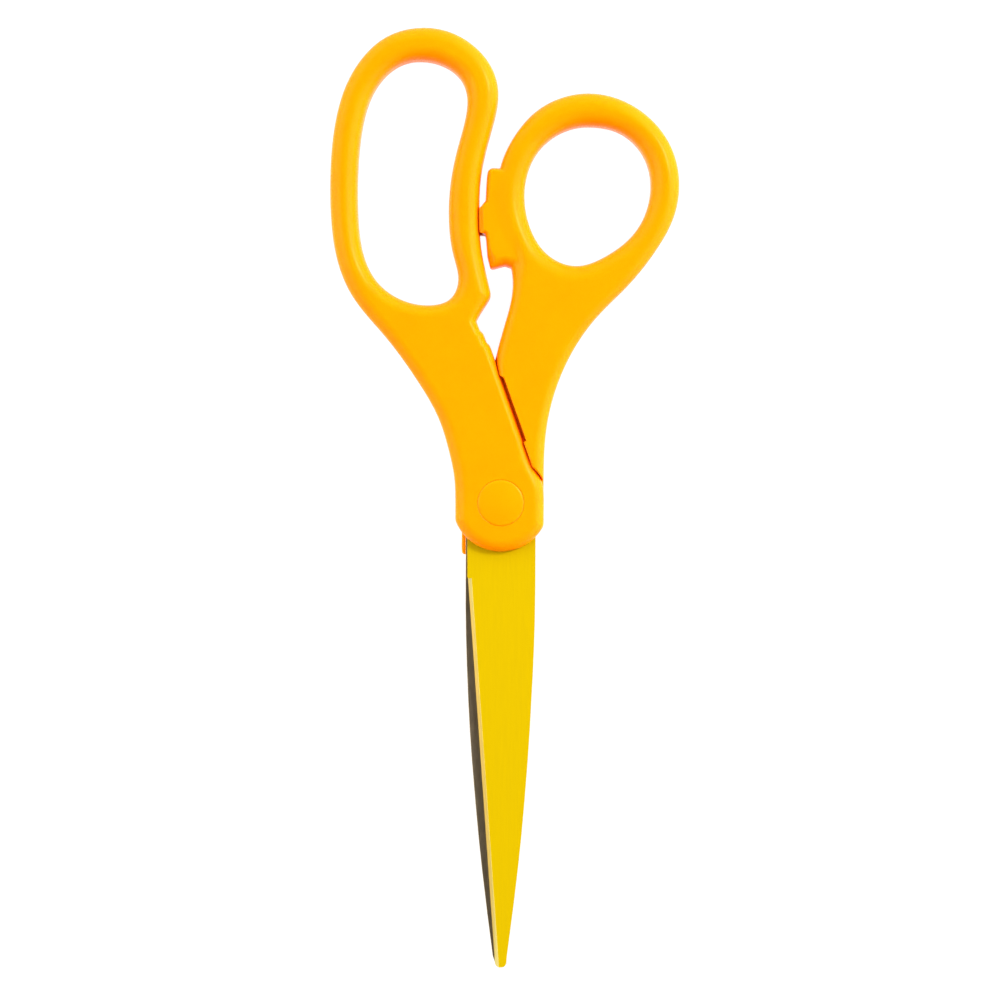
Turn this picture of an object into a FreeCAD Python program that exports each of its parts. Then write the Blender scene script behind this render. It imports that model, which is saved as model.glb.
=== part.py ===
"""Office scissors, 203 mm long: two moulded handles, two coated steel blades and a capped rivet.

The scissors lie on their back with the blades closed. X runs across them, +Y from the pivot
towards the handles, and +Z up from the surface they rest on. The origin is on the pivot axis, at
that surface. The finger handle and the upper blade lie in the upper layer over the pivot, the
thumb handle and the lower blade in the lower one; the layers meet at half the handle thickness.
"""

import FreeCAD
import Part
import Sketcher
from FreeCAD import Vector

import math
import os

# Driving dimensions, in millimetres.
DIMENSIONS = {
    "handle_thickness": 10.0,
    "edge_round": 2.4,
    "lap_clearance": 0.2,
    "swing_clearance": 0.3,
    "lobe_radius": 10.5,
    "lobe_corner": 2.5,
    "stop_thickness": 7.6,
    "tooth_depth": 0.25,
    "blade_thickness": 2.0,
    "blade_gap": 0.1,
    "bevel_width": 0.8,
    "bevel_land": 0.1,
    "bore_radius": 2.55,
    "tang_hole_radius": 1.7,
    "shank_radius": 2.5,
    "head_radius": 4.0,
    "head_thickness": 1.1,
    "tail_radius": 3.5,
    "tail_thickness": 0.9,
    "spring_radius": 3.9,
    "spring_thickness": 0.3,
    "backing_radius": 4.1,
    "backing_thickness": 0.6,
    "stack_gap": 0.02,
    "recess_radius": 5.1,
    "cap_radius": 5.06,
    "cap_wall": 0.75,
    "cap_top": 1.2,
    "cap_edge": 0.35,
    "cap_crown": 0.5,
    "crown_edge": 0.12,
}

# Outline of the finger loop and its shank, from the lobe's left side, over the loop and down to
# the bulge above the notch.
FINGER_SIDE = [
    (-9.8, 0.0), (-10.0, 5.2), (-11.2, 11.3), (-13.3, 18.0), (-18.0, 26.4), (-25.5, 36.6),
    (-32.0, 44.6), (-35.3, 52.4), (-36.7, 62.2), (-36.8, 71.5), (-35.8, 81.9), (-33.4, 90.3),
    (-29.7, 96.4), (-24.7, 100.7), (-18.4, 102.6), (-11.7, 102.0), (-5.6, 98.6), (-1.7, 93.6),
    (-0.5, 88.8), (-1.3, 83.0), (-3.1, 76.4), (-4.3, 70.2), (-4.6, 62.2), (-4.2, 55.0), (-2.9, 48.5),
]
# Corners of its inner edge, down to the lobe's right side.
BULGE = (-2.0, 44.7)
NOTCH = (-5.3, 39.3)
SHOULDER = (-2.3, 33.9)
KNEE = (5.9, 10.8)
LAP_CORNER = (9.3, 3.7)
LOBE_SIDE = (9.3, -1.0)
FINGER_HOLE = [
    (-17.3, 95.7), (-23.2, 93.9), (-27.5, 88.8), (-29.9, 81.2), (-30.9, 70.8), (-30.8, 61.1),
    (-29.5, 53.1), (-26.0, 47.0), (-21.2, 43.8), (-15.6, 42.7), (-10.8, 44.2), (-9.2, 48.1),
    (-10.2, 53.4), (-11.2, 60.9), (-10.8, 69.3), (-9.3, 76.7), (-7.6, 83.2), (-7.3, 88.2),
    (-8.7, 91.8), (-12.1, 94.5),
]

# Outline of the thumb loop and its shank, from the lobe's right side, over the loop and down the
# other side to the lobe's left side.
THUMB_SIDE = [
    (9.3, 3.0), (9.4, 10.2), (10.0, 16.7), (11.6, 23.6), (15.3, 32.3), (20.8, 40.2), (27.7, 47.2),
    (33.6, 54.6), (37.4, 61.7), (38.6, 69.1), (36.7, 77.2), (31.6, 83.7), (25.2, 87.4),
    (19.1, 88.5), (13.0, 87.5), (7.4, 84.4), (3.0, 79.3), (0.6, 74.7), (-0.6, 69.8), (-0.7, 64.0),
    (0.4, 57.8), (1.9, 52.6), (2.6, 48.0), (2.0, 42.6), (0.7, 38.0), (-1.1, 31.4), (-5.2, 16.9),
    (-8.4, 5.6), (-9.3, 0.0),
]
THUMB_HOLE = [
    (18.8, 81.5), (13.0, 80.1), (8.0, 75.9), (5.6, 70.4), (5.2, 64.8), (6.7, 58.6), (10.2, 53.6),
    (16.2, 51.2), (22.7, 53.3), (28.8, 58.2), (32.1, 65.2), (32.1, 71.9), (29.7, 76.9), (24.9, 80.5),
]
# Stop pad beside the thumb loop, with the nub that meets the finger loop when the blades close:
# (corner, radius) pairs, as in the outlines below.
STOP_PAD = [
    ((1.5, 72.2), 0), ((-2.8, 72.4), 1.3), ((-3.3, 65.2), 0.4), ((-4.5, 64.2), 0.4),
    ((-4.5, 58.2), 0.4), ((-3.3, 57.9), 0.4), ((-2.9, 53.5), 0), ((-2.2, 50.5), 0.6),
    ((0.9, 51.3), 1.0), ((3.4, 50.4), 0),
]
# Lip of the lower lobe that covers the corner of the lower blade's spine.
SPINE_LIP = [
    ((-8.45, -4.5), 0), ((-8.4, -11.1), 0.6), ((-3.6, -11.2), 2.0), ((1.5, -9.6), 0), ((1.5, -4.5), 0),
]

# Edges of the half lap: above these walls a handle has its full thickness.
FINGER_WALL = ((-1.9, 32.2), (-9.8, 6.0))
THUMB_WALL = ((-0.72, 31.5), (8.2, 6.6))

UPPER = 1
LOWER = -1

# The blades, in a frame with the cutting edge on the left. The lower blade is turned over, so its
# x changes sign, and it has a slightly wider spine and a tang of its own.
SPINE = {
    UPPER: [
        (7.55, -8.0), (7.46, -21.0), (7.25, -30.0), (6.85, -38.8), (6.25, -49.7), (5.4, -61.4),
        (4.33, -73.4), (2.98, -85.3), (1.95, -93.4), (1.33, -98.0),
    ],
    LOWER: [
        (7.55, -8.0), (7.62, -21.0), (7.5, -30.0), (7.2, -39.0), (6.65, -50.0), (5.75, -61.7),
        (4.7, -73.4), (3.4, -85.0), (2.3, -93.8), (1.75, -98.0),
    ],
}
TIP = [((1.0, -100.3), 0.9), ((-1.2, -100.35), 0.8)]
EDGE_TOP = (-7.08, -16.25)
EDGE_END = TIP[-1][0]
RICASSO_STEP = (-7.2, -15.9)
RICASSO_TOP = (-7.2, -2.0)
SPINE_TOP = (7.55, -2.0)
TANG = {
    UPPER: [
        ((-7.2, 2.0), 3), ((-8.0, 12.0), 12), ((-14.6, 33.0), 2), ((-7.0, 34.5), 2), ((7.55, 1.0), 3),
    ],
    LOWER: [
        ((-7.2, 0.5), 3), ((-5.8, 12.3), 12), ((-9.2, 36.5), 2), ((-3.4, 36.5), 2),
        ((3.4, 14.0), 12), ((7.55, 0.5), 3),
    ],
}
TANG_HOLES = {UPPER: [(-4.2, 16.5), (-9.6, 28.5)], LOWER: [(-2.0, 18.5), (-5.4, 31.0)]}

# Heights, as expressions over the sheet.
FULL = "Dims.handle_thickness"
MID = f"{FULL} / 2"
UPPER_OUTER = f"{MID} + Dims.blade_gap / 2 + Dims.blade_thickness"
LOWER_OUTER = f"{MID} - Dims.blade_gap / 2 - Dims.blade_thickness"
UPPER_INNER = f"{MID} + Dims.blade_gap / 2"
BLADE_BOTTOM = {UPPER: UPPER_INNER, LOWER: LOWER_OUTER}
BLADE_FACE = {UPPER: UPPER_OUTER, LOWER: LOWER_OUTER}
THUMB_LAP_FLOOR = f"{MID} - Dims.lap_clearance"
FINGER_LAP_ROOF = f"{MID} + Dims.lap_clearance"

document = FreeCAD.newDocument("scissors")
sheet = document.addObject("Spreadsheet::Sheet", "Dims")
for row, (alias, value) in enumerate(DIMENSIONS.items(), start=1):
    sheet.set(f"A{row}", alias)
    sheet.set(f"B{row}", str(value))
    sheet.setAlias(f"B{row}", alias)
document.recompute()


def number(expression):
    """Value of an expression over the sheet, in millimetres."""
    value = sheet.evalExpression(expression)
    return float(getattr(value, "Value", value))


def point(xy):
    return Vector(xy[0], xy[1], 0)


def in_row_frame(corners, side):
    """(point, radius) corners of a blade, from its own frame."""
    return [((side * x, y), radius) for (x, y), radius in corners]


def spline(points, start=None, end=None):
    """Smooth curve through points, by chord length: closed, or with the given end directions."""
    closed = start is None
    path = points + points[:1] if closed else points
    lengths = [0.0]
    for before, after in zip(path, path[1:]):
        lengths.append(lengths[-1] + math.dist(before, after))
    curve = Part.BSplineCurve()
    places = [point(p) for p in points]
    if closed:
        curve.interpolate(Points=places, PeriodicFlag=True, Parameters=lengths)
    else:
        curve.interpolate(
            Points=places, Parameters=lengths, Scale=False,
            InitialTangent=point(start).normalize(), FinalTangent=point(end).normalize(),
        )
    return curve


def corner_arc(before, here, after, radius):
    """Arc of a rounded corner, with the points where it leaves the two lines."""
    back = (before - here).normalize()
    ahead = (after - here).normalize()
    half = back.getAngle(ahead) / 2
    first = here + back * (radius / math.tan(half))
    last = here + ahead * (radius / math.tan(half))
    deepest = here + (back + ahead).normalize() * (radius / math.sin(half) - radius)
    return first, Part.Arc(first, deepest, last), last


def rounded_line(corners, closed=False):
    """Lines through (point, radius) corners, with a tangent arc of that radius at each."""
    places = [point(p) for p, _ in corners]
    count = len(places)
    starts = list(places)
    ends = list(places)
    arcs = [None] * count
    for i, (_, radius) in enumerate(corners):
        if radius and (closed or 0 < i < count - 1):
            following = places[(i + 1) % count]
            starts[i], arcs[i], ends[i] = corner_arc(places[i - 1], places[i], following, radius)
    curves = []
    for i in range(count):
        if arcs[i]:
            curves.append(arcs[i])
        following = (i + 1) % count
        if following or closed:
            curves.append(Part.LineSegment(ends[i], starts[following]))
    return curves


def lobe(right, left):
    """Rounded end about the pivot, from a point on its right side round to one on its left."""
    radius = number("Dims.lobe_radius")
    corner = number("Dims.lobe_corner")
    places = []
    for side_x in (right[0], left[0]):
        reach = abs(side_x) - corner
        drop = math.sqrt((radius - corner) ** 2 - reach**2)
        centre = Vector(math.copysign(reach, side_x), -drop, 0)
        on_side = Vector(side_x, -drop, 0)
        on_lobe = centre * (radius / centre.Length)
        outward = ((on_side - centre) + (on_lobe - centre)).normalize()
        places.append((on_side, centre + outward * corner, on_lobe))
    (right_side, right_between, right_lobe), (left_side, left_between, left_lobe) = places
    return [
        Part.LineSegment(point(right), right_side),
        Part.Arc(right_side, right_between, right_lobe),
        Part.Arc(right_lobe, Vector(0, -radius, 0), left_lobe),
        Part.Arc(left_lobe, left_between, left_side),
        Part.LineSegment(left_side, point(left)),
    ]


def origin_plane(body, role):
    return next(f for f in body.Origin.OriginFeatures if f.Role == role)


def new_body(label):
    body = document.addObject("PartDesign::Body", label)
    body.Label = label
    return body


def new_sketch(body, name, role="XY_Plane"):
    sketch = body.newObject("Sketcher::SketchObject", name)
    sketch.AttachmentSupport = [(origin_plane(body, role), "")]
    sketch.MapMode = "FlatFace"
    return sketch


def flat_sketch(body, name, curves, level="0"):
    """Sketch parallel to XY at a height given by an expression."""
    sketch = new_sketch(body, name)
    sketch.setExpression(".AttachmentOffset.Base.z", level)
    sketch.addGeometry(curves, False)
    return sketch


def circle_sketch(body, name, centres, radius, level):
    """Sketch of equal circles whose radius is bound to the sheet."""
    size = number(radius)
    circles = [Part.Circle(point(c), Vector(0, 0, 1), size) for c in centres]
    sketch = flat_sketch(body, name, circles, level)
    for i, centre in enumerate(centres):
        sketch.addConstraint(Sketcher.Constraint("DistanceX", -1, 1, i, 3, centre[0]))
        sketch.addConstraint(Sketcher.Constraint("DistanceY", -1, 1, i, 3, centre[1]))
        bound = sketch.addConstraint(Sketcher.Constraint("Radius", i, size))
        sketch.setExpression(f"Constraints[{bound}]", radius)
    return sketch


def pad(body, name, sketch, length, midplane=False):
    feature = body.newObject("PartDesign::Pad", name)
    feature.Profile = sketch
    feature.setExpression("Length", length)
    feature.Midplane = midplane
    document.recompute()
    return feature


def recompute_cut(body, name, before):
    """Recompute after a cut, and stop if it removed nothing."""
    document.recompute()
    removed = before - body.Shape.Volume
    if removed < 1e-3:
        raise ValueError(f"{body.Label}: {name} removed {removed:.4f} mm3")


def pocket(body, name, sketch, length, up=True):
    """Cut upwards, or downwards, from the sketch."""
    before = body.Shape.Volume
    feature = body.newObject("PartDesign::Pocket", name)
    feature.Profile = sketch
    feature.setExpression("Length", length)
    feature.Reversed = up
    recompute_cut(body, name, before)
    return feature


def round_rims(body, name, base, heights, radius):
    """Fillet every edge of base that lies flat at one of the heights."""
    names = []
    for i, edge in enumerate(base.Shape.Edges, start=1):
        box = edge.BoundBox
        if any(abs(box.ZMin - h) < 1e-4 and abs(box.ZMax - h) < 1e-4 for h in heights):
            names.append(f"Edge{i}")
    feature = body.newObject("PartDesign::Fillet", name)
    feature.Base = (base, names)
    feature.setExpression("Radius", radius)
    document.recompute()


def revolved(label, profile, edge_round=None, round_heights=(), crown_radius=None):
    """Body turned about the pivot axis; profile lists (radius, height) expressions.

    With a crown radius, the profile starts with an arc of that radius in place of a line.
    """
    body = new_body(label)
    sketch = new_sketch(body, f"{label}_profile", "XZ_Plane")
    corners = [Vector(number(r), number(z), 0) for r, z in profile]
    count = len(corners)
    lines = [Part.LineSegment(corners[i], corners[(i + 1) % count]) for i in range(count)]
    if crown_radius:
        size = number(crown_radius)
        centre = Vector(0, corners[1].y - size, 0)
        between = corners[0] + corners[1] - centre * 2
        between.normalize()
        lines[0] = Part.Arc(corners[0], centre + between * size, corners[1])
    sketch.addGeometry(lines, False)
    for i in range(count):
        sketch.addConstraint(Sketcher.Constraint("Coincident", i, 2, (i + 1) % count, 1))
    if crown_radius:
        bound = sketch.addConstraint(Sketcher.Constraint("Radius", 0, size))
        sketch.setExpression(f"Constraints[{bound}]", crown_radius)
    for i, (radius, height) in enumerate(profile):
        for kind, size, expression in (
            ("DistanceX", corners[i].x, radius), ("DistanceY", corners[i].y, height),
        ):
            bound = sketch.addConstraint(Sketcher.Constraint(kind, -1, 1, i, 1, size))
            sketch.setExpression(f"Constraints[{bound}]", expression)
    turned = body.newObject("PartDesign::Revolution", f"{label}_turned")
    turned.Profile = sketch
    turned.ReferenceAxis = (sketch, ["V_Axis"])
    turned.Angle = 360
    document.recompute()
    if edge_round:
        round_rims(body, f"{label}_edge", turned, [number(h) for h in round_heights], edge_round)
    return body


def blade_outline(side):
    """Closed outline of one blade and its tang."""
    spine = [(side * x, y) for x, y in SPINE[side]]
    towards_tip = (spine[-1][0] - spine[-2][0], spine[-1][1] - spine[-2][1])
    front = [(SPINE[side][-1], 0)] + TIP + [(EDGE_TOP, 0), (RICASSO_STEP, 0), (RICASSO_TOP, 0)]
    back = [(RICASSO_TOP, 0)] + TANG[side] + [(SPINE_TOP, 0), (SPINE[side][0], 0)]
    return (
        [spline(spine, (0, -1), towards_tip)]
        + rounded_line(in_row_frame(front, side))
        + rounded_line(in_row_frame(back, side))
    )


def hole_centres(side):
    return [(side * x, y) for x, y in TANG_HOLES[side]]


def grind_bevel(body, side):
    """Grind the cutting edge: a wedge run along the edge, from the outer face nearly to the inner."""
    edge_x = side * EDGE_TOP[0]
    flank_x = edge_x + side * number("Dims.bevel_width")
    clear_x = edge_x - side
    face = number(BLADE_FACE[side])
    beyond = face + side / 2
    land = face - side * number("Dims.blade_thickness - Dims.bevel_land")
    section = [(edge_x, land), (flank_x, face), (flank_x, beyond), (clear_x, beyond), (clear_x, land)]
    sketch = new_sketch(body, f"{body.Label}_bevel_section", "XZ_Plane")
    sketch.AttachmentOffset = FreeCAD.Placement(Vector(0, 0, -EDGE_TOP[1]), FreeCAD.Rotation())
    sketch.addGeometry(rounded_line([(c, 0) for c in section], closed=True), False)
    before = body.Shape.Volume
    bevel = body.newObject("PartDesign::Pocket", f"{body.Label}_bevel")
    bevel.Profile = sketch
    bevel.UseCustomVector = True
    bevel.Direction = Vector(side * (EDGE_END[0] - EDGE_TOP[0]), EDGE_END[1] - EDGE_TOP[1], 0)
    bevel.Length = math.dist(EDGE_TOP, EDGE_END) + 2
    recompute_cut(body, "bevel", before)


def build_blade(label, side):
    """One blade with its tang, its pivot bore and the holes that lock it in the handle."""
    body = new_body(label)
    bottom = BLADE_BOTTOM[side]
    thickness = "Dims.blade_thickness"
    plate = flat_sketch(body, f"{label}_outline", blade_outline(side), bottom)
    pad(body, f"{label}_plate", plate, thickness)
    bore = circle_sketch(body, f"{label}_bore_circle", [(0, 0)], "Dims.bore_radius", bottom)
    pocket(body, f"{label}_bore", bore, thickness)
    centres = hole_centres(side)
    locks = circle_sketch(body, f"{label}_lock_circles", centres, "Dims.tang_hole_radius", bottom)
    pocket(body, f"{label}_locks", locks, thickness)
    grind_bevel(body, side)
    return body


def finger_outline():
    """Outer outline of the finger handle, clockwise from the lobe's left side."""
    towards_bulge = (BULGE[0] - FINGER_SIDE[-1][0], BULGE[1] - FINGER_SIDE[-1][1])
    inner_edge = [
        (FINGER_SIDE[-1], 0), (BULGE, 2.5), (NOTCH, 0.7), (SHOULDER, 8), (KNEE, 30),
        (LAP_CORNER, 8), (LOBE_SIDE, 0),
    ]
    return (
        [spline(FINGER_SIDE, (0, 1), towards_bulge)]
        + rounded_line(inner_edge)
        + lobe(LOBE_SIDE, FINGER_SIDE[0])
    )


def thumb_outline():
    """Outer outline of the thumb handle, anticlockwise from the lobe's right side."""
    side = spline(THUMB_SIDE, (0, 1), (0, -1))
    return [side] + lobe(THUMB_SIDE[0], THUMB_SIDE[-1])


def lap_region(wall, side, reach=60.0):
    """Region beside and below a lap wall; side is +1 where the region lies to the wall's right."""
    top, bottom = point(wall[0]), point(wall[1])
    beyond = top + (top - bottom).normalize() * 6
    corners = [
        (beyond.x, beyond.y), (bottom.x, bottom.y), (-side * reach, bottom.y),
        (-side * reach, -reach), (side * reach, -reach), (side * reach, beyond.y),
    ]
    return rounded_line([(c, 0) for c in corners], closed=True)


def teeth():
    """Two shallow saw teeth along the edge below the notch."""
    start, end = point(NOTCH), point(SHOULDER)
    along = (end - start).normalize()
    outward = Vector(-along.y, along.x, 0)
    pitch = (end - start).Length / 2
    curves = []
    for i in range(2):
        first = start + along * (0.1 + i * pitch)
        last = start + along * (i + 1) * pitch
        valley = start + along * (i + 0.68) * pitch - outward * number("Dims.tooth_depth")
        corners = [first, valley, last, last + outward, first + outward]
        curves += rounded_line([((c.x, c.y), 0) for c in corners], closed=True)
    return curves


def rounded_block(label, outline, hole):
    """Handle block with its loop opened and all its rims rounded."""
    body = new_body(label)
    pad(body, f"{label}_block", flat_sketch(body, f"{label}_outline", outline), FULL)
    loop = flat_sketch(body, f"{label}_loop_outline", [spline(hole)])
    opened = pocket(body, f"{label}_loop", loop, FULL)
    round_rims(body, f"{label}_round", opened, [0.0, number(FULL)], "Dims.edge_round")
    return body


def tang_cavity(body, side):
    """Hollow that the moulded handle leaves for the blade and tang, with posts in the holes."""
    radius = number("Dims.tang_hole_radius")
    posts = [Part.Circle(point(c), Vector(0, 0, 1), radius) for c in hole_centres(side)]
    outline = blade_outline(side) + posts
    sketch = flat_sketch(body, f"{body.Label}_cavity_outline", outline, BLADE_BOTTOM[side])
    pocket(body, f"{body.Label}_cavity", sketch, "Dims.blade_thickness")


def build_finger_handle():
    """Upper handle: under its lap roof it is cut away, to the right of the lap wall."""
    body = rounded_block("finger_handle", finger_outline(), FINGER_HOLE)
    pocket(body, "finger_teeth", flat_sketch(body, "finger_teeth_outline", teeth()), FULL)
    lap = flat_sketch(body, "finger_lap_outline", lap_region(FINGER_WALL, 1))
    pocket(body, "finger_lap", lap, FINGER_LAP_ROOF)
    tang_cavity(body, UPPER)
    recess = circle_sketch(body, "finger_recess_circle", [(0, 0)], "Dims.recess_radius", FULL)
    pocket(body, "finger_recess", recess, f"{FULL} - ({UPPER_OUTER})", up=False)
    return body


def build_thumb_handle():
    """Lower handle, with the stop pad beside its loop and the lip beside the lower blade."""
    body = rounded_block("thumb_handle", thumb_outline(), THUMB_HOLE)
    stop = flat_sketch(body, "stop_outline", rounded_line(STOP_PAD, closed=True), MID)
    pad(body, "stop_pad", stop, "Dims.stop_thickness", midplane=True)
    lip = flat_sketch(body, "spine_lip_outline", rounded_line(SPINE_LIP, closed=True))
    pad(body, "spine_lip", lip, THUMB_LAP_FLOOR)
    above_lap = f"{FULL} - ({THUMB_LAP_FLOOR})"
    lap = flat_sketch(body, "thumb_lap_outline", lap_region(THUMB_WALL, -1), THUMB_LAP_FLOOR)
    pocket(body, "thumb_lap", lap, above_lap)
    swing_radius = "Dims.lobe_radius + Dims.swing_clearance"
    swing = circle_sketch(body, "thumb_swing_circle", [(0, 0)], swing_radius, THUMB_LAP_FLOOR)
    pocket(body, "thumb_swing", swing, above_lap)
    tang_cavity(body, LOWER)
    recess = circle_sketch(body, "thumb_recess_circle", [(0, 0)], "Dims.recess_radius", "0")
    pocket(body, "thumb_recess", recess, LOWER_OUTER)
    return body


def build_rivet():
    """Shouldered rivet: factory head above the spring washer, formed tail below the backing one."""
    head_bottom = f"{UPPER_OUTER} + Dims.spring_thickness + 2 * Dims.stack_gap"
    head_top = f"{head_bottom} + Dims.head_thickness"
    tail_top = f"{LOWER_OUTER} - Dims.backing_thickness - 2 * Dims.stack_gap"
    tail_bottom = f"{tail_top} - Dims.tail_thickness"
    profile = [
        ("0", tail_bottom), ("Dims.tail_radius", tail_bottom), ("Dims.tail_radius", tail_top),
        ("Dims.shank_radius", tail_top), ("Dims.shank_radius", head_bottom),
        ("Dims.head_radius", head_bottom), ("Dims.head_radius", head_top), ("0", head_top),
    ]
    return revolved("pivot_rivet", profile, "Dims.cap_edge", [tail_bottom, head_top])


def build_ring(label, bottom, thickness, radius):
    top = f"{bottom} + {thickness}"
    profile = [("Dims.bore_radius", bottom), (radius, bottom), (radius, top), ("Dims.bore_radius", top)]
    return revolved(label, profile)


def build_front_cap():
    """Snap-in cap whose crowned face stands proud of the handle, with a skirt down to the blade."""
    rim = f"{UPPER_OUTER} + Dims.stack_gap"
    under = f"{FULL} - Dims.cap_top"
    inside = "Dims.cap_radius - Dims.cap_wall"
    profile = [
        ("Dims.cap_radius", FULL), ("0", f"{FULL} + Dims.cap_crown"), ("0", under), (inside, under),
        (inside, rim), ("Dims.cap_radius", rim),
    ]
    crown = "(Dims.cap_radius * Dims.cap_radius / Dims.cap_crown + Dims.cap_crown) / 2"
    return revolved("front_pivot_cap", profile, "Dims.crown_edge", [FULL], crown)


def build_rear_cap():
    """Snap-in cap that lies flush with the lower handle's face."""
    rim = f"{LOWER_OUTER} - Dims.stack_gap"
    inside = "Dims.cap_radius - Dims.cap_wall"
    profile = [
        ("0", "0"), ("Dims.cap_radius", "0"), ("Dims.cap_radius", rim), (inside, rim),
        (inside, "Dims.cap_top"), ("0", "Dims.cap_top"),
    ]
    return revolved("rear_pivot_cap", profile, "Dims.cap_edge", ["0"])


bodies = [
    build_blade("upper_blade", UPPER),
    build_blade("lower_blade", LOWER),
    build_finger_handle(),
    build_thumb_handle(),
    build_rivet(),
    build_ring(
        "spring_washer", f"{UPPER_OUTER} + Dims.stack_gap", "Dims.spring_thickness", "Dims.spring_radius"
    ),
    build_ring(
        "backing_washer", f"{LOWER_OUTER} - Dims.backing_thickness - Dims.stack_gap",
        "Dims.backing_thickness", "Dims.backing_radius",
    ),
    build_front_cap(),
    build_rear_cap(),
]
document.recompute()

for item in document.Objects:
    if "Invalid" in item.State or "Error" in item.State:
        raise RuntimeError(f"{item.Name} failed: {item.State}")
os.makedirs("parts", exist_ok=True)
for body in bodies:
    if body.Shape.isNull() or not body.Shape.isValid():
        raise RuntimeError(f"{body.Label} has no valid shape")
    body.Shape.exportStep(f"parts/{body.Label}.step")
    print(f"{body.Label}: {len(body.Shape.Solids)} solid, {body.Shape.Volume:.1f} mm3")
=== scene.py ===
"""Office scissors: moulded handles, coated blades and a capped pivot, on a white table."""

import math

import bmesh
import bpy
import numpy as np
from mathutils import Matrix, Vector
from mathutils.kdtree import KDTree


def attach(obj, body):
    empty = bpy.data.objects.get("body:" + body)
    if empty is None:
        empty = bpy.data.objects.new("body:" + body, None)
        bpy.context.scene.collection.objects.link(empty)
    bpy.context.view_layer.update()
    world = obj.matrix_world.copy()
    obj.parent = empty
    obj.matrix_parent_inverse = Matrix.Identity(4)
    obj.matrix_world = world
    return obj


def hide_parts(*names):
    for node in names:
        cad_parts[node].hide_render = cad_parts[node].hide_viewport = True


MM = 0.001

# Heights, radii and lines of the design, in millimetres, in the frame of the CAD model.
MID = 5.0
HALF_THICKNESS = 5.0
LAP_ROOF = 5.2
LAP_FLOOR = 4.8
UPPER_FACE = 7.05
LOWER_FACE = 2.95
FRONT_CAP_TOP = 10.5
REAR_CAP_BOTTOM = 0.0
RECESS_RADIUS = 4.98
CAP_GAP = 0.02
CAP_SKIRT = 0.65
CAP_THICKNESS = 1.2
CAP_ABOVE_BLADE = 0.02
SWING_RADIUS = 10.32
FINGER_WALL = ((-1.9, 32.2), (-9.8, 6.0))
THUMB_WALL = ((-0.72, 31.5), (8.2, 6.6))
INNER_EDGE = ((-2.3, 33.9), (5.9, 10.8))
LOOP_CENTRE = (18.7, 66.4)

# Heights at which the CAD handles are cut for their outlines: clear of the blades and laps.
FINGER_LEVEL = 7.3
THUMB_LEVEL = 2.5

# Rounding of the handles' edges: how far it reaches in from an edge, half the height of the
# straight wall between the two roundings, and the power of the curve. Places are values of y.
EDGE_WIDTH = 2.8
THUMB_EDGE_WIDTH = 2.6
THUMB_HOLE_EDGE_WIDTH = 4.0
CRISP_EDGE_LESS = 0.9
LOOP_EDGE_MORE = 0.4
THUMB_LOOP_EDGE_MORE = 0.6
STRAIGHT_WALL = 2.2
LOOP_WALL_LESS = 0.8
ROUNDING = 2.15
FINGER_LOOP_RISE = (34, 50)
THUMB_LOOP_RISE = (44, 58)

# Stop pad beside the thumb loop, and its nub that meets the finger handle.
STOP_BEYOND_LOOP = (16.0, 20.5)
STOP_ACROSS = (6.0, 3.0)
STOP_RISE = (46.5, 51.5)
STOP_EDGE_FADE = (55.5, 51.5)
STOP_EDGE_WIDTH = 0.9
STOP_EDGE_MORE = 1.7
STOP_HALF = 4.4
NUB_RISE = (58.1, 63.9)
NUB_RIGHT = -3.6
NUB_BELOW_PAD = 0.4
CONTACT_GAP = 0.01

# Slot in the thumb handle beside the lap.
SLOT_GAP = 0.5
SLOT_FLOOR = 7.9
SLOT_START = (12.9, 13.3)
SLOT_END = (28.4, 26.8)
WALL_OVER_EDGE = 0.9
FAR_FROM_HOLE = 99.0

# Sculpting.
GRID = 0.22
OUTLINE_STEP = 0.15
CORNER_ANGLE = math.radians(30)
HANDLE_TRIANGLES = 150_000

# Stage, in metres. The sky's strength falls from bright to dark between two heights of view.
TABLE_BELOW = 0.0001
CAMERA_LENS = 120
CAMERA_OVER = (-0.00015, 0.00065)
CAMERA_HEIGHT = 0.722
SKY_FADE = (0.55, 0.85, 2.2, 0.06)
SKY_LEAN = (0.15, 0.45, 0)
SKY_SIDES = (1.3, -1.0, 0)


def section_loops(node, height):
    """Closed outlines, in millimetres, where a level plane cuts a CAD node."""
    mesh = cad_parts[node].data
    mesh.calc_loop_triangles()
    places = np.empty(len(mesh.vertices) * 3)
    mesh.vertices.foreach_get("co", places)
    places = places.reshape(-1, 3) / MM
    corners = np.empty(len(mesh.loop_triangles) * 3, int)
    mesh.loop_triangles.foreach_get("vertices", corners)
    triangles = places[corners.reshape(-1, 3)]
    above = triangles[:, :, 2] > height
    crossed = triangles[above.any(1) & ~above.all(1)]
    links = {}
    for triangle in crossed:
        ends = []
        for a, b in ((0, 1), (1, 2), (2, 0)):
            za, zb = triangle[a, 2] - height, triangle[b, 2] - height
            if (za > 0) != (zb > 0):
                crossing = triangle[a] + (triangle[b] - triangle[a]) * za / (za - zb)
                ends.append((round(crossing[0], 4), round(crossing[1], 4)))
        if ends[0] != ends[1]:
            links.setdefault(ends[0], []).append(ends[1])
            links.setdefault(ends[1], []).append(ends[0])
    loops = []
    while links:
        here = next(iter(links))
        loop = [here]
        while links.get(here):
            following = links[here].pop()
            links[following].remove(here)
            loop.append(following)
            here = following
        for place in loop:
            if place in links and not links[place]:
                del links[place]
        if len(loop) > 8:
            loops.append(np.array(loop[:-1]))
    return sorted(loops, key=lambda l: -np.ptp(l, axis=0).prod())


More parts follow.
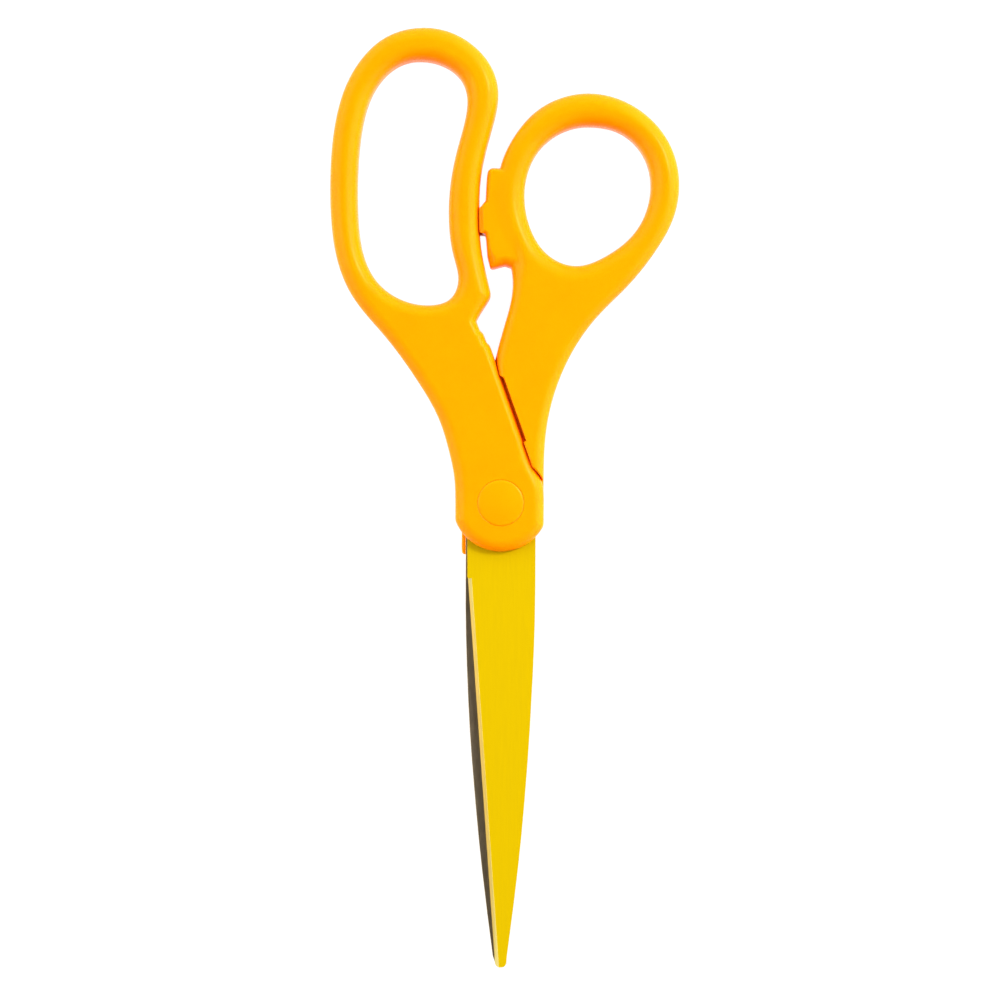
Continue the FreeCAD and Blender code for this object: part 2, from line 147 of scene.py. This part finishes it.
def smooth_outline(loop, step=OUTLINE_STEP):
    """Closed centripetal Catmull-Rom curve through an outline, broken at its sharp corners."""
    spacing = np.linalg.norm(np.roll(loop, -1, 0) - loop, axis=1)
    loop = loop[spacing > 0.02]
    count = len(loop)
    before, after = np.roll(loop, 1, 0), np.roll(loop, -1, 0)
    incoming, outgoing = loop - before, after - loop
    turn = np.abs(np.arctan2(
        incoming[:, 0] * outgoing[:, 1] - incoming[:, 1] * outgoing[:, 0], (incoming * outgoing).sum(1)
    ))
    sharp = turn > CORNER_ANGLE
    lengths_in = np.linalg.norm(incoming, axis=1)[:, None]
    lengths_out = np.linalg.norm(outgoing, axis=1)[:, None]
    tangent = (incoming / lengths_in * lengths_out + outgoing / lengths_out * lengths_in) / (
        lengths_in + lengths_out
    )
    leaving = np.where(sharp[:, None], outgoing / lengths_out, tangent)
    arriving = np.where(sharp[:, None], incoming / lengths_in, tangent)
    points = []
    for i in range(count):
        j = (i + 1) % count
        span = lengths_out[i, 0]
        t = np.arange(0, 1, 1 / max(1, round(span / step)))[:, None]
        points.append(
            (2 * t**3 - 3 * t**2 + 1) * loop[i] + (t**3 - 2 * t**2 + t) * span * leaving[i]
            + (3 * t**2 - 2 * t**3) * loop[j] + (t**3 - t**2) * span * arriving[j]
        )
    return np.concatenate(points)


class Plan:
    """Regular grid over a handle's plan, which keeps signed distances to outlines."""

    def __init__(self, low, high):
        self.low = np.array(low) - 4 * GRID
        self.shape = tuple(np.ceil((np.array(high) - low) / GRID).astype(int) + 9)
        self.x = self.low[0] + GRID * np.arange(self.shape[0])
        self.y = self.low[1] + GRID * np.arange(self.shape[1])

    def depth_inside(self, outline):
        """Distance to a closed outline at each grid point: positive inside it."""
        tree = KDTree(len(outline))
        for i, (x, y) in enumerate(outline):
            tree.insert((x, y, 0), i)
        tree.balance()
        nearest = np.array([tree.find((x, y, 0))[1] for x in self.x for y in self.y])
        places = np.stack(np.meshgrid(self.x, self.y, indexing="ij"), -1).reshape(-1, 2)
        distance = np.full(len(places), np.inf)
        for shift in (-1, 0):
            a = outline[(nearest + shift) % len(outline)]
            b = outline[(nearest + shift + 1) % len(outline)]
            along = b - a
            t = np.clip(((places - a) * along).sum(1) / (along**2).sum(1), 0, 1)[:, None]
            distance = np.minimum(distance, np.linalg.norm(places - a - t * along, axis=1))
        distance = distance.reshape(self.shape)
        return np.where(self.is_inside(outline), distance, -distance)

    def is_inside(self, outline):
        """Even-odd test of every grid point, one row of the grid at a time."""
        inside = np.zeros(self.shape, bool)
        a, b = outline, np.roll(outline, -1, 0)
        for j, y in enumerate(self.y):
            crossed = (a[:, 1] > y) != (b[:, 1] > y)
            p, q = a[crossed], b[crossed]
            crossings = np.sort(p[:, 0] + (y - p[:, 1]) / (q[:, 1] - p[:, 1]) * (q[:, 0] - p[:, 0]))
            inside[:, j] = np.searchsorted(crossings, self.x) % 2 == 1
        return inside

    def read(self, grid, x, y):
        """Bilinear reading of a grid at any places."""
        u = np.clip((x - self.low[0]) / GRID, 0, self.shape[0] - 1.001)
        v = np.clip((y - self.low[1]) / GRID, 0, self.shape[1] - 1.001)
        i, j = u.astype(int), v.astype(int)
        s, t = u - i, v - j
        return (
            grid[i, j] * (1 - s) * (1 - t) + grid[i + 1, j] * s * (1 - t)
            + grid[i, j + 1] * (1 - s) * t + grid[i + 1, j + 1] * s * t
        )


def smooth_max(a, b, blend):
    """Larger of two values, with the crease between them rounded where they differ by under blend."""
    overlap = np.maximum(blend - np.abs(a - b), 0) / blend
    return np.maximum(a, b) + overlap**2 * blend / 4


def smooth_min(a, b, blend):
    """Smaller of two values, rounded in the same way."""
    return -smooth_max(-a, -b, blend)


def smooth_step(value, low, high):
    """Ramp from 0 at low to 1 at high, level at both ends."""
    t = np.clip((value - low) / (high - low), 0, 1)
    return t * t * (3 - 2 * t)


def beside_wall(x, y, wall):
    """Signed distance to a lap wall's line: positive to the right of the wall, seen from above."""
    (x1, y1), (x2, y2) = wall
    length = math.hypot(x2 - x1, y2 - y1)
    return ((x - x2) * (y1 - y2) - (y - y2) * (x1 - x2)) / length


def moulded(z, rim, hole, rim_width, hole_width, wall, half=HALF_THICKNESS):
    """Slab, under 0 inside, with a straight wall that is rounded over at the top and bottom.

    rim and hole are depths behind the outline and the loop; wall is half the straight wall's height.
    """
    at_rim = np.clip(1 - rim / rim_width, 0, 4)
    at_hole = np.clip(1 - hole / hole_width, 0, 4)
    edge = np.sqrt(at_rim**2 + at_hole**2)
    level = np.clip((np.abs(z - MID) - wall) / (half - wall), 0, 4)
    return ((edge**ROUNDING + level**ROUNDING) ** (1 / ROUNDING) - 1) * rim_width


def finger_body(x, y, z, rim, hole):
    """Finger handle before its lap and recess are cut; tighter edges along the inner side."""
    loop = smooth_step(y, *FINGER_LOOP_RISE)
    crisp = smooth_step(y, 7, 14) * smooth_step(y, 46, 38)
    crisp = crisp * smooth_step(beside_wall(x, y, INNER_EDGE), -6, -2)
    hole_width = EDGE_WIDTH + LOOP_EDGE_MORE * loop
    width = hole_width - CRISP_EDGE_LESS * crisp
    return moulded(z, rim, hole, width, hole_width, STRAIGHT_WALL - LOOP_WALL_LESS * loop)


def finger_shape(plan, rim_grid, hole_grid):
    """Finger handle: upper layer at the pivot, over the thumb handle's lap."""
    def shape(x, y, z):
        rim, hole = plan.read(rim_grid, x, y), plan.read(hole_grid, x, y)
        solid = finger_body(x, y, z, rim, hole)
        lap = smooth_min(-beside_wall(x, y, FINGER_WALL), y - FINGER_WALL[1][1], 0.5)
        under_roof = smooth_max(lap, z - LAP_ROOF, 0.3)
        solid = smooth_max(solid, -under_roof, 0.35)
        recess = smooth_max(np.hypot(x, y) - RECESS_RADIUS, UPPER_FACE - z, 0.2)
        return smooth_max(solid, -recess, 0.08)
    return shape


def thumb_body(x, y, z, rim, hole):
    """Thumb handle with its stop pad, before its lap, slot and recess are cut."""
    loop = smooth_step(y, *THUMB_LOOP_RISE)
    beyond = np.hypot(x - LOOP_CENTRE[0], y - LOOP_CENTRE[1])
    stop = smooth_step(beyond, *STOP_BEYOND_LOOP) * smooth_step(x, *STOP_ACROSS)
    stop = stop * smooth_step(y, *STOP_RISE)
    stop_edge = STOP_EDGE_WIDTH + STOP_EDGE_MORE * smooth_step(y, *STOP_EDGE_FADE)
    width = (THUMB_EDGE_WIDTH + THUMB_LOOP_EDGE_MORE * loop) * (1 - stop) + stop_edge * stop
    half = HALF_THICKNESS - (HALF_THICKNESS - STOP_HALF) * stop
    wall = STRAIGHT_WALL - LOOP_WALL_LESS * loop
    return moulded(z, rim, hole, width, THUMB_HOLE_EDGE_WIDTH, wall, half)


def stop_nub(x, y, z, beside_finger):
    """Block between the stop pad and the finger handle, up to the finger handle's own surface."""
    middle, half_length = sum(NUB_RISE) / 2, (NUB_RISE[1] - NUB_RISE[0]) / 2
    block = np.maximum(np.abs(y - middle) - half_length, x - NUB_RIGHT)
    block = np.maximum(block, CONTACT_GAP - beside_finger)
    return np.maximum(block, np.abs(z - MID) - (STOP_HALF - NUB_BELOW_PAD))


def thumb_shape(plan, rim_grid, hole_grid):
    """Thumb handle: lower layer at the pivot, shaped round the finger handle that closes on it."""
    finger_edge = smooth_outline(section_loops("finger_handle", FINGER_LEVEL)[0])
    clear_grid = -plan.depth_inside(finger_edge)

    def shape(x, y, z):
        rim, hole = plan.read(rim_grid, x, y), plan.read(hole_grid, x, y)
        clear = plan.read(clear_grid, x, y)
        beside_finger = finger_body(x, y, z, -clear, FAR_FROM_HOLE)
        solid = thumb_body(x, y, z, rim, hole)
        solid = smooth_min(solid, stop_nub(x, y, z, beside_finger), 0.3)
        wall_line = beside_wall(x, y, THUMB_WALL) + WALL_OVER_EDGE
        wall = np.minimum(beside_finger - CONTACT_GAP, wall_line)
        lap = np.minimum(wall, np.hypot(x, y) - SWING_RADIUS)
        over_floor = smooth_max(lap, LAP_FLOOR - z, 0.3)
        softness = 0.5 + smooth_step(y, 26.5, 28.5)
        solid = smooth_max(solid, -over_floor, softness)
        slot_here = smooth_step(y, *SLOT_START) * smooth_step(y, *SLOT_END)
        slot = np.maximum(clear - SLOT_GAP, SLOT_FLOOR - z) + 2 * (1 - slot_here)
        solid = smooth_max(solid, -slot, 0.15)
        recess = smooth_max(np.hypot(x, y) - RECESS_RADIUS, z - LOWER_FACE, 0.2)
        return smooth_max(solid, -recess, 0.3)
    return shape


def surface_net(field, low):
    """Quads around the zero surface of a grid of values: one vertex in each cell it crosses."""
    cells_shape = tuple(np.array(field.shape) - 1)
    edge_places, edge_cells = [], []
    for axis in range(3):
        turned = np.moveaxis(field, axis, 0)
        start, end = turned[:-1], turned[1:]
        crossed = (start < 0) != (end < 0)
        index = np.argwhere(crossed)
        index = np.insert(index[:, 1:], axis, index[:, 0], axis=1)
        place = index.astype(float)
        place[:, axis] += start[crossed] / (start[crossed] - end[crossed])
        around = []
        for du, dv in ((0, 0), (-1, 0), (-1, -1), (0, -1)):
            cell = index.copy()
            cell[:, (axis + 1) % 3] += du
            cell[:, (axis + 2) % 3] += dv
            around.append(np.ravel_multi_index(cell.T, cells_shape))
        around = np.stack(around, 1)
        outward = start[crossed] < 0
        around[~outward] = around[~outward][:, ::-1]
        edge_places.append(place)
        edge_cells.append(around)
    edge_places = np.concatenate(edge_places)
    edge_cells = np.concatenate(edge_cells)
    _, corners = np.unique(edge_cells, return_inverse=True)
    quads = corners.reshape(-1, 4)
    counts = np.bincount(quads.ravel())
    repeated = np.repeat(edge_places, 4, axis=0)
    vertices = np.stack([np.bincount(quads.ravel(), repeated[:, k]) / counts for k in range(3)], 1)
    return np.array(low) + vertices * GRID, quads


def mesh_object(name, vertices, faces):
    """Mesh object in metres from places in millimetres."""
    mesh = bpy.data.meshes.new(name)
    corner_count = faces.shape[1]
    mesh.vertices.add(len(vertices))
    mesh.vertices.foreach_set("co", (vertices * MM).astype(np.float32).ravel())
    mesh.loops.add(faces.size)
    mesh.loops.foreach_set("vertex_index", faces.astype(np.int32).ravel())
    mesh.polygons.add(len(faces))
    mesh.polygons.foreach_set("loop_start", np.arange(0, faces.size, corner_count, dtype=np.int32))
    mesh.update(calc_edges=True)
    mesh.validate()
    piece = bpy.data.objects.new(name, mesh)
    bpy.context.scene.collection.objects.link(piece)
    return piece


def apply_modifiers(piece):
    depsgraph = bpy.context.evaluated_depsgraph_get()
    baked = bpy.data.meshes.new_from_object(piece.evaluated_get(depsgraph))
    piece.modifiers.clear()
    piece.data = baked


def gradient(shape, places, reach=0.12):
    steps = []
    for axis in range(3):
        offset = np.zeros(3)
        offset[axis] = reach
        ahead, behind = (places + offset).T, (places - offset).T
        steps.append((shape(*ahead) - shape(*behind)) / (2 * reach))
    return np.stack(steps, 1)


def sculpt(name, plan, shape):
    """Mesh of a shape, thinned where it is flat, with its vertices and normals on the true form."""
    z = np.arange(-4, 2 * HALF_THICKNESS / GRID + 6) * GRID
    grid = np.meshgrid(plan.x, plan.y, z, indexing="ij")
    vertices, quads = surface_net(shape(*grid), (plan.low[0], plan.low[1], z[0]))
    piece = mesh_object(name, vertices, quads)
    thin = piece.modifiers.new("thin", "DECIMATE")
    thin.ratio = min(1.0, HANDLE_TRIANGLES / (2 * len(quads)))
    apply_modifiers(piece)
    mesh = piece.data
    places = np.empty(len(mesh.vertices) * 3)
    mesh.vertices.foreach_get("co", places)
    places = places.reshape(-1, 3) / MM
    for _ in range(3):
        slope = gradient(shape, places)
        steepness = np.maximum((slope**2).sum(1), 0.04)
        move = slope * (shape(*places.T) / steepness)[:, None]
        places -= np.clip(move, -0.06, 0.06)
    mesh.vertices.foreach_set("co", (places * MM).astype(np.float32).ravel())
    mesh.polygons.foreach_set("use_smooth", np.ones(len(mesh.polygons), bool))
    normals = gradient(shape, places)
    normals /= np.linalg.norm(normals, axis=1)[:, None]
    mesh.normals_split_custom_set_from_vertices(normals.tolist())
    mesh.update()
    return piece


def build_handle(node, level, shape_of):
    """Sculpted handle from the CAD node's own outlines."""
    outlines = [smooth_outline(loop) for loop in section_loops(node, level)]
    plan = Plan(outlines[0].min(0) - 1, outlines[0].max(0) + 1)
    rim, hole = plan.depth_inside(outlines[0]), -plan.depth_inside(outlines[1])
    return sculpt(node + "_moulding", plan, shape_of(plan, rim, hole))


class Tree:
    """Short way to add nodes to a node tree."""

    def __init__(self, tree):
        self.tree = tree

    def add(self, kind, inputs=None, **settings):
        node = self.tree.nodes.new("ShaderNode" + kind)
        for key, value in settings.items():
            setattr(node, key, value)
        for key, value in (inputs or {}).items():
            if isinstance(value, bpy.types.NodeSocket):
                self.tree.links.new(value, node.inputs[key])
            else:
                node.inputs[key].default_value = value
        return node

    def math(self, operation, a, b=0.0):
        return self.add("Math", {0: a, 1: b}, operation=operation).outputs[0]


class Nodes(Tree):
    """Short way to write a material's node tree."""

    def __init__(self, name):
        self.material = bpy.data.materials.new(name)
        self.material.use_nodes = True
        super().__init__(self.material.node_tree)
        self.shader = self.tree.nodes["Principled BSDF"]

    def place(self, scale=(1, 1, 1)):
        """Object coordinates in millimetres, stretched by scale."""
        here = self.add("TexCoord").outputs["Object"]
        stretch = [s / MM for s in scale]
        return self.add("Mapping", {"Vector": here, "Scale": stretch}).outputs[0]

    def noise(self, size, detail=2.0, scale=(1, 1, 1)):
        """Noise from 0 to 1 whose features are about size millimetres across."""
        inputs = {"Vector": self.place(scale), "Scale": 1 / size, "Detail": detail}
        return self.add("TexNoise", inputs).outputs[0]

    def ramp(self, value, low, high, start, end):
        inputs = {"Value": value, "From Min": low, "From Max": high, "To Min": start, "To Max": end}
        return self.add("MapRange", inputs).outputs[0]

    def mix(self, factor, a, b):
        inputs = {0: factor, 6: a, 7: b}
        return self.add("Mix", inputs, data_type="RGBA").outputs[2]

    def bump(self, height, distance, strength=1.0, after=None):
        inputs = {"Height": height, "Distance": distance * MM, "Strength": strength}
        if after:
            inputs["Normal"] = after
        return self.add("Bump", inputs).outputs[0]

    def set(self, **sockets):
        for key, value in sockets.items():
            socket = self.shader.inputs[key.replace("_", " ")]
            if isinstance(value, bpy.types.NodeSocket):
                self.tree.links.new(value, socket)
            else:
                socket.default_value = value


def plastic(name, colour, deep, roughness=0.28):
    """Moulded plastic: satin, slightly translucent, with a fine mould grain over a faint swell."""
    m = Nodes(name)
    clouds = m.noise(9.0, 3.0)
    base = m.mix(m.ramp(clouds, 0.35, 0.65, 0, 1), colour, deep)
    grain = m.noise(0.35, 3.0)
    swell = m.noise(5.0, 1.0)
    m.set(
        Base_Color=base, Roughness=m.ramp(grain, 0.3, 0.7, roughness - 0.04, roughness + 0.05),
        Normal=m.bump(grain, 0.006, 0.6, m.bump(swell, 0.05, 0.3)),
        Subsurface_Weight=0.25, Subsurface_Radius=(1.0, 0.5, 0.1), Subsurface_Scale=0.0015,
        IOR=1.18, Specular_Tint=(1.0, 0.85, 0.4, 1),
    )
    return m.material


def coating(name, colour):
    """Satin yellow coating, finely brushed along the blade."""
    m = Nodes(name)
    streaks = m.noise(0.3, 2.0, (1, 0.05, 1))
    base = m.mix(m.ramp(streaks, 0.3, 0.7, 0, 1), colour, [c * 0.96 for c in colour[:3]] + [1])
    m.set(
        Base_Color=base, Roughness=m.ramp(streaks, 0.3, 0.7, 0.36, 0.44),
        IOR=1.3, Specular_Tint=(1.0, 0.85, 0.15, 1),
        Normal=m.bump(streaks, 0.003, 0.5),
    )
    return m.material


def ground_steel(name, colour, along):
    """Bare ground steel with grinding lines; along stretches them."""
    m = Nodes(name)
    lines = m.noise(0.12, 3.0, along)
    tone = m.ramp(lines, 0.3, 0.7, 0.9, 1.04)
    base = m.mix(tone, (0, 0, 0, 1), colour)
    m.set(
        Base_Color=base, Metallic=1.0, Roughness=m.ramp(lines, 0.3, 0.7, 0.3, 0.4),
        Normal=m.bump(lines, 0.002, 0.4),
    )
    return m.material


def use_material(piece, material):
    piece.data.materials.clear()
    piece.data.materials.append(material)


def build_blade(node, outer_up, coated, bare, edge):
    """Blade with softened edges: coated outside, bare on its inner face and its ground bevel."""
    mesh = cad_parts[node].data.copy()
    piece = bpy.data.objects.new(node + "_steel", mesh)
    bpy.context.scene.collection.objects.link(piece)
    mesh.materials.clear()
    for material in (coated, bare, edge):
        mesh.materials.append(material)
    form = bmesh.new()
    form.from_mesh(mesh)
    bmesh.ops.remove_doubles(form, verts=form.verts, dist=1e-6)
    bmesh.ops.dissolve_limit(
        form, angle_limit=math.radians(0.5), verts=form.verts, edges=form.edges, delimit=set()
    )
    form.normal_update()
    # Faces towards the other blade take the bare steel. Slanted faces, the ground bevel, take the
    # steel with a painted reflection. The rest take the coating.
    for face in form.faces:
        up = face.normal.z if outer_up else -face.normal.z
        if up < -0.9:
            face.material_index = 1
        elif 0.2 < up < 0.9:
            face.material_index = 2
        else:
            face.material_index = 0
    form.to_mesh(mesh)
    form.free()
    mesh.polygons.foreach_set("use_smooth", np.ones(len(mesh.polygons), bool))
    soften = piece.modifiers.new("soften", "BEVEL")
    soften.width = 0.12 * MM
    soften.segments = 2
    soften.limit_method = "ANGLE"
    soften.angle_limit = math.radians(20)
    level = piece.modifiers.new("level", "WEIGHTED_NORMAL")
    level.mode = "FACE_AREA"
    level.weight = 100
    apply_modifiers(piece)
    return piece


def turned_piece(name, profile, segments=128):
    """Piece turned about the pivot axis from (radius, height) points in millimetres."""
    angles = np.linspace(0, 2 * math.pi, segments, endpoint=False)
    rings = [
        np.stack([r * np.cos(angles), r * np.sin(angles), np.full(segments, h)], 1) for r, h in profile
    ]
    vertices = np.concatenate(rings)
    faces = []
    for ring in range(len(profile) - 1):
        here = ring * segments + np.arange(segments)
        following = ring * segments + (np.arange(segments) + 1) % segments
        faces.append(np.stack([here, following, following + segments, here + segments], 1))
    piece = mesh_object(name, vertices, np.concatenate(faces))
    form = bmesh.new()
    form.from_mesh(piece.data)
    bmesh.ops.remove_doubles(form, verts=form.verts, dist=1e-7)
    bmesh.ops.recalc_face_normals(form, faces=form.faces)
    form.to_mesh(piece.data)
    form.free()
    piece.data.polygons.foreach_set("use_smooth", np.ones(len(piece.data.polygons), bool))
    return piece


def cap_profile(face, rim, dome, up, corner):
    """Profile of a pivot cap: domed face, rounded edge and a skirt with a hollow inside.

    face and rim are heights; dome is the face's crown; up is 1 for the front cap, -1 for the rear.
    """
    radius = RECESS_RADIUS - CAP_GAP
    profile = []
    for i in range(13):
        r = (radius - corner) * i / 12
        profile.append((r, face - up * dome * (r / radius) ** 2))
    edge_height = face - up * dome
    for i in range(1, 9):
        a = math.pi / 2 * i / 8
        r = radius - corner + corner * math.sin(a)
        profile.append((r, edge_height - up * corner * (1 - math.cos(a))))
    inside, ceiling = radius - CAP_SKIRT, face - up * CAP_THICKNESS
    return profile + [(radius, rim), (inside, rim), (inside, ceiling), (0, ceiling)]


def stage_table():
    """White table just under the scissors."""
    bpy.ops.mesh.primitive_plane_add(size=4)
    table = bpy.context.object
    table.name = "table"
    table.location.z = -TABLE_BELOW
    white = Nodes("white_table")
    white.set(
        Base_Color=(0.05, 0.05, 0.05, 1), Roughness=0.9,
        Emission_Color=(1, 1, 1, 1), Emission_Strength=1.0,
    )
    use_material(table, white.material)


def stage_camera():
    """Camera straight above, a little off the pivot axis."""
    camera = bpy.data.objects.new("camera", bpy.data.cameras.new("camera"))
    camera.data.lens = CAMERA_LENS
    camera.location = (*CAMERA_OVER, CAMERA_HEIGHT + MID * MM)
    bpy.context.scene.collection.objects.link(camera)
    bpy.context.scene.camera = camera


def area_light(name, place, size, power):
    """Rectangular light aimed at the pivot."""
    light = bpy.data.lights.new(name, "AREA")
    light.shape = "RECTANGLE"
    light.size, light.size_y = size
    light.energy = power
    lamp = bpy.data.objects.new(name, light)
    lamp.location = place
    lamp.rotation_euler = (-Vector(place)).to_track_quat("-Z", "Y").to_euler()
    bpy.context.scene.collection.objects.link(lamp)


def studio_world():
    """Soft light all round, dark overhead: more from the far side, and from the two sides."""
    world = bpy.data.worlds.new("studio")
    world.use_nodes = True
    sky = Tree(world.node_tree)
    background = sky.tree.nodes["Background"]
    background.inputs[0].default_value = (1, 1, 1, 1)
    direction = sky.add("TexCoord").outputs["Generated"]
    height = sky.add("SeparateXYZ", {0: direction}).outputs[2]
    low, high, bright, dark = SKY_FADE
    fade = sky.add("MapRange", {0: height, 1: low, 2: high, 3: bright, 4: dark}).outputs[0]
    far_side = sky.add("VectorMath", {0: direction, 1: SKY_LEAN}, operation="DOT_PRODUCT")
    squares = sky.add("VectorMath", {0: direction, 1: direction}, operation="MULTIPLY").outputs[0]
    both_sides = sky.add("VectorMath", {0: squares, 1: SKY_SIDES}, operation="DOT_PRODUCT")
    lean = sky.math("ADD", far_side.outputs["Value"], 1.0)
    lean = sky.math("ADD", lean, both_sides.outputs["Value"])
    sky.tree.links.new(sky.math("MULTIPLY", fade, lean), background.inputs[1])
    bpy.context.scene.world = world


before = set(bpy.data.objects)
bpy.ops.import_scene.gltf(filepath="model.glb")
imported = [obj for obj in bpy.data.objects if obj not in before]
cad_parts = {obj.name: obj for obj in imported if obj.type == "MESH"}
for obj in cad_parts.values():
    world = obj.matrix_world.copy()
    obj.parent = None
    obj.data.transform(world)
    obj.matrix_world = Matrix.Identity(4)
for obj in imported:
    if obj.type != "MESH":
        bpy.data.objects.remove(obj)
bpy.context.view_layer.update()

handle_plastic = plastic("handle_plastic", (0.94, 0.252, 0.0, 1), (0.94, 0.262, 0.0, 1))
cap_plastic = plastic("cap_plastic", (0.86, 0.262, 0.0, 1), (0.86, 0.270, 0.0, 1), 0.28)
blade_coating = coating("blade_coating", (0.49, 0.325, 0.0, 1))
bare_steel = ground_steel("ground_inner_face", (0.52, 0.40, 0.26, 1), (1, 0.05, 1))
# The ground bevel is the same bare steel as the inner face, painted lighter and yellower: a painted
# reflection on real steel.
bevel_steel_painted_reflection = ground_steel("ground_bevel_painted_reflection", (0.76, 0.61, 0.15, 1), (0.3, 1.5, 1))

finger = build_handle("finger_handle", FINGER_LEVEL, finger_shape)
thumb = build_handle("thumb_handle", THUMB_LEVEL, thumb_shape)
upper = build_blade("upper_blade", True, blade_coating, bare_steel, bevel_steel_painted_reflection)
lower = build_blade("lower_blade", False, blade_coating, bare_steel, bevel_steel_painted_reflection)
front_rim, rear_rim = UPPER_FACE + CAP_ABOVE_BLADE, LOWER_FACE - CAP_ABOVE_BLADE
front_cap = turned_piece("front_cap_disc", cap_profile(FRONT_CAP_TOP, front_rim, 0.5, 1, 0.08))
rear_cap = turned_piece("rear_cap_disc", cap_profile(REAR_CAP_BOTTOM, rear_rim, 0.0, -1, 0.3))
for piece, node, body, material, slot in (
    (finger, "finger_handle", "finger_half", handle_plastic, "handle_plastic"),
    (thumb, "thumb_handle", "thumb_half", handle_plastic, "handle_plastic"),
    (front_cap, "front_pivot_cap", "finger_half", cap_plastic, "cap_plastic"),
    (rear_cap, "rear_pivot_cap", "thumb_half", cap_plastic, "cap_plastic"),
    (upper, "upper_blade", "finger_half", None, "blade_steel"),
    (lower, "lower_blade", "thumb_half", None, "blade_steel"),
):
    if material:
        use_material(piece, material)
    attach(piece, body)
    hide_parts(node)
turned_steel = ground_steel("turned_steel", (0.55, 0.54, 0.52, 1), (1, 1, 1))
for node in ("pivot_rivet", "spring_washer", "backing_washer"):
    use_material(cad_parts[node], turned_steel)

stage_table()
stage_camera()
area_light("key_upper_right", (0.48, 0.30, 0.52), (0.18, 0.18), 5)
area_light("left_side", (-0.52, 0.05, 0.52), (0.12, 0.3), 0.9)
studio_world()
bpy.context.scene.view_settings.view_transform = "Standard"

bpy.context.view_layer.update()
